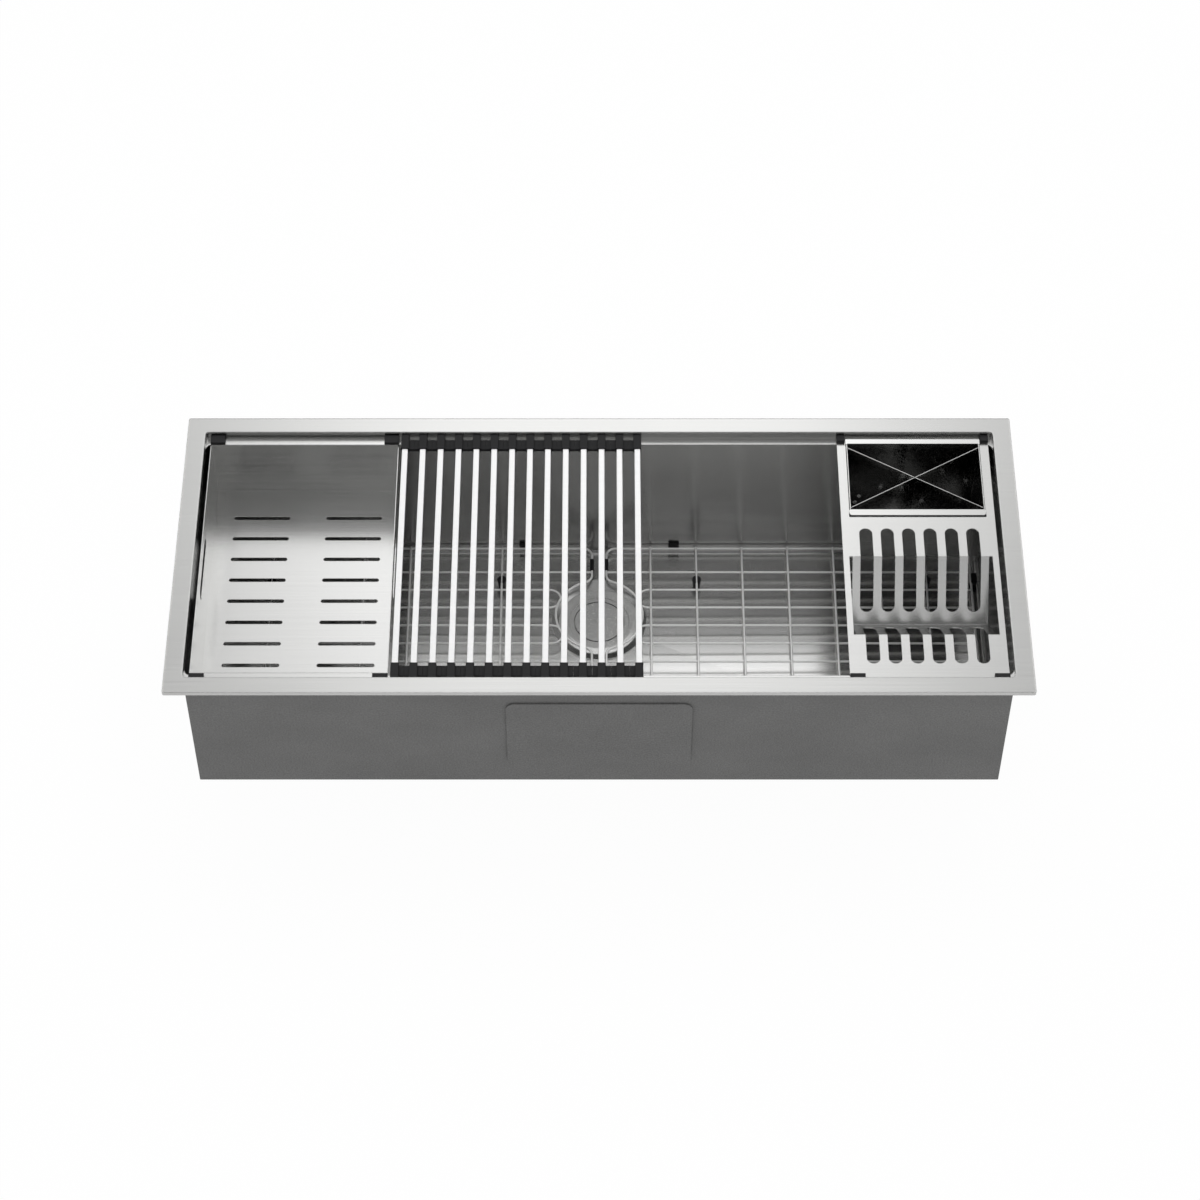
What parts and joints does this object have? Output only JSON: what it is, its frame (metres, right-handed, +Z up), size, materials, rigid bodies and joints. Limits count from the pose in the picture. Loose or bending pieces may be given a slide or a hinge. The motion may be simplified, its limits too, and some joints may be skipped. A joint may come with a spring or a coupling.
{
  "type": "workstation kitchen sink",
  "caption": "Deep single-bowl kitchen sink with stepped ledges, lift-out colander, roll-up drying mat, sliding rack with utensil caddy, wire bottom grids and basket strainer",
  "frame": {"origin": "centre of the rim's top plane, midway between the rim's ends and between its front and back edges", "axes": "+X to the right along the rim, +Y to the back, +Z up out of the bowl; the colander is on the left and the rack on the right"},
  "size_m": [1.143, 0.47, 0.4],
  "materials": {
    "rim_steel": "satin brushed",
    "bowl_steel": "satin brushed",
    "coating": "fine sprayed grain",
    "pad_rubber": "matte",
    "drain_steel": "satin turned",
    "gasket_rubber": "matte",
    "fibre": "pressed fibre, matte",
    "nut_metal": "cast, matte",
    "washer_plastic": "matte",
    "tail_chrome": "polished",
    "tray_steel": "satin brushed",
    "clip_rubber": "matte",
    "wire_steel": "polished wire",
    "bar_steel": "satin"
  },
  "bodies": {
    "sink": {"rim_deck": "rim_steel", "rim_step": "rim_steel", "ledge": "rim_steel", "bowl_shell": "bowl_steel", "undercoat": "coating", "sound_pads_wall": "pad_rubber", "sound_pads_base": "pad_rubber", "strainer_body": "drain_steel", "strainer_gasket": "gasket_rubber", "friction_ring": "fibre", "strainer_locknut": "nut_metal", "tailpiece_washer": "washer_plastic", "tailpiece": "tail_chrome", "slip_nut": "nut_metal"},
    "basket": {"strainer_basket": "drain_steel"},
    "stopper": {"drain_lid": "drain_steel", "stopper_stem": "drain_steel", "stopper_knob": "drain_steel", "stopper_seal": "gasket_rubber"},
    "colander": {"colander_floor": "tray_steel", "colander_walls": "tray_steel", "colander_flanges": "tray_steel", "colander_pads": "clip_rubber"},
    "rack": {"rack_plate": "tray_steel", "rack_trough": "tray_steel", "rack_pads": "clip_rubber"},
    "caddy": {"caddy_box": "tray_steel"},
    "divider": {"caddy_dividers": "tray_steel"},
    "grid_left": {"grid_left_wires": "wire_steel", "grid_left_rubbers": "clip_rubber"},
    "grid_right": {"grid_right_wires": "wire_steel", "grid_right_rubbers": "clip_rubber"},
    "mat_14": {"mat_bar_14": "bar_steel", "mat_ends_14": "clip_rubber"},
    "mat_13": {"mat_bar_13": "bar_steel", "mat_ends_13": "clip_rubber"},
    "mat_12": {"mat_bar_12": "bar_steel", "mat_ends_12": "clip_rubber"},
    "mat_11": {"mat_bar_11": "bar_steel", "mat_ends_11": "clip_rubber"},
    "mat_10": {"mat_bar_10": "bar_steel", "mat_ends_10": "clip_rubber"},
    "mat_09": {"mat_bar_09": "bar_steel", "mat_ends_09": "clip_rubber"},
    "mat_08": {"mat_bar_08": "bar_steel", "mat_ends_08": "clip_rubber"},
    "mat_07": {"mat_bar_07": "bar_steel", "mat_ends_07": "clip_rubber"},
    "mat_06": {"mat_bar_06": "bar_steel", "mat_ends_06": "clip_rubber"},
    "mat_05": {"mat_bar_05": "bar_steel", "mat_ends_05": "clip_rubber"},
    "mat_04": {"mat_bar_04": "bar_steel", "mat_ends_04": "clip_rubber"},
    "mat_03": {"mat_bar_03": "bar_steel", "mat_ends_03": "clip_rubber"},
    "mat_02": {"mat_bar_02": "bar_steel", "mat_ends_02": "clip_rubber"},
    "mat_01": {"mat_bar_01": "bar_steel", "mat_ends_01": "clip_rubber"}
  },
  "joints": [
    {"name": "basket_lift", "type": "slide", "parent": "sink", "child": "basket", "axis": [0, 0, 1], "range_m": [0, 0.09]},
    {"name": "stopper_lift", "type": "slide", "parent": "basket", "child": "stopper", "axis": [0, 0, 1], "range_m": [0, 0.0075]},
    {"name": "grid_left_lift", "type": "slide", "parent": "sink", "child": "grid_left", "axis": [0, 0, 1], "range_m": [0, 0.09]},
    {"name": "grid_right_lift", "type": "slide", "parent": "sink", "child": "grid_right", "axis": [0, 0, 1], "range_m": [0, 0.09]},
    {"name": "colander_lift", "type": "slide", "parent": "sink", "child": "colander", "axis": [0, 0, 1], "range_m": [0, 0.16]},
    {"name": "rack_slide", "type": "slide", "parent": "sink", "child": "rack", "axis": [1, 0, 0], "range_m": [-0.13, 0]},
    {"name": "caddy_lift", "type": "slide", "parent": "rack", "child": "caddy", "axis": [0, 0, 1], "range_m": [0, 0.12]},
    {"name": "divider_lift", "type": "slide", "parent": "caddy", "child": "divider", "axis": [0, 0, 1], "range_m": [0, 0.1]},
    {"name": "mat_slide", "type": "slide", "parent": "sink", "child": "mat_14", "axis": [1, 0, 0], "range_m": [0, 0.13]},
    {"name": "mat_hinge_13", "type": "hinge", "parent": "mat_14", "child": "mat_13", "pos_m": [0.0405, 0, -0.008], "axis": [0, 1, 0], "range_deg": [0, 25]},
    {"name": "mat_hinge_12", "type": "hinge", "parent": "mat_13", "child": "mat_12", "pos_m": [0.01574, 0, -0.008], "axis": [0, 1, 0], "range_deg": [0, 25]},
    {"name": "mat_hinge_11", "type": "hinge", "parent": "mat_12", "child": "mat_11", "pos_m": [-0.00902, 0, -0.008], "axis": [0, 1, 0], "range_deg": [0, 25]},
    {"name": "mat_hinge_10", "type": "hinge", "parent": "mat_11", "child": "mat_10", "pos_m": [-0.03378, 0, -0.008], "axis": [0, 1, 0], "range_deg": [0, 25]},
    {"name": "mat_hinge_09", "type": "hinge", "parent": "mat_10", "child": "mat_09", "pos_m": [-0.05854, 0, -0.008], "axis": [0, 1, 0], "range_deg": [0, 25]},
    {"name": "mat_hinge_08", "type": "hinge", "parent": "mat_09", "child": "mat_08", "pos_m": [-0.0833, 0, -0.008], "axis": [0, 1, 0], "range_deg": [0, 25]},
    {"name": "mat_hinge_07", "type": "hinge", "parent": "mat_08", "child": "mat_07", "pos_m": [-0.10806, 0, -0.008], "axis": [0, 1, 0], "range_deg": [0, 25]},
    {"name": "mat_hinge_06", "type": "hinge", "parent": "mat_07", "child": "mat_06", "pos_m": [-0.13282, 0, -0.008], "axis": [0, 1, 0], "range_deg": [0, 25]},
    {"name": "mat_hinge_05", "type": "hinge", "parent": "mat_06", "child": "mat_05", "pos_m": [-0.15758, 0, -0.008], "axis": [0, 1, 0], "range_deg": [0, 25]},
    {"name": "mat_hinge_04", "type": "hinge", "parent": "mat_05", "child": "mat_04", "pos_m": [-0.18234, 0, -0.008], "axis": [0, 1, 0], "range_deg": [0, 25]},
    {"name": "mat_hinge_03", "type": "hinge", "parent": "mat_04", "child": "mat_03", "pos_m": [-0.2071, 0, -0.008], "axis": [0, 1, 0], "range_deg": [0, 25]},
    {"name": "mat_hinge_02", "type": "hinge", "parent": "mat_03", "child": "mat_02", "pos_m": [-0.23186, 0, -0.008], "axis": [0, 1, 0], "range_deg": [0, 25]},
    {"name": "mat_hinge_01", "type": "hinge", "parent": "mat_02", "child": "mat_01", "pos_m": [-0.25662, 0, -0.008], "axis": [0, 1, 0], "range_deg": [0, 25]}
  ],
  "couplings": [
    {"joint": "mat_hinge_12", "follows": "mat_hinge_13", "ratio": 1},
    {"joint": "mat_hinge_11", "follows": "mat_hinge_13", "ratio": 1},
    {"joint": "mat_hinge_10", "follows": "mat_hinge_13", "ratio": 1},
    {"joint": "mat_hinge_09", "follows": "mat_hinge_13", "ratio": 1},
    {"joint": "mat_hinge_08", "follows": "mat_hinge_13", "ratio": 1},
    {"joint": "mat_hinge_07", "follows": "mat_hinge_13", "ratio": 1},
    {"joint": "mat_hinge_06", "follows": "mat_hinge_13", "ratio": 1},
    {"joint": "mat_hinge_05", "follows": "mat_hinge_13", "ratio": 1},
    {"joint": "mat_hinge_04", "follows": "mat_hinge_13", "ratio": 1},
    {"joint": "mat_hinge_03", "follows": "mat_hinge_13", "ratio": 1},
    {"joint": "mat_hinge_02", "follows": "mat_hinge_13", "ratio": 1},
    {"joint": "mat_hinge_01", "follows": "mat_hinge_13", "ratio": 1}
  ]
}
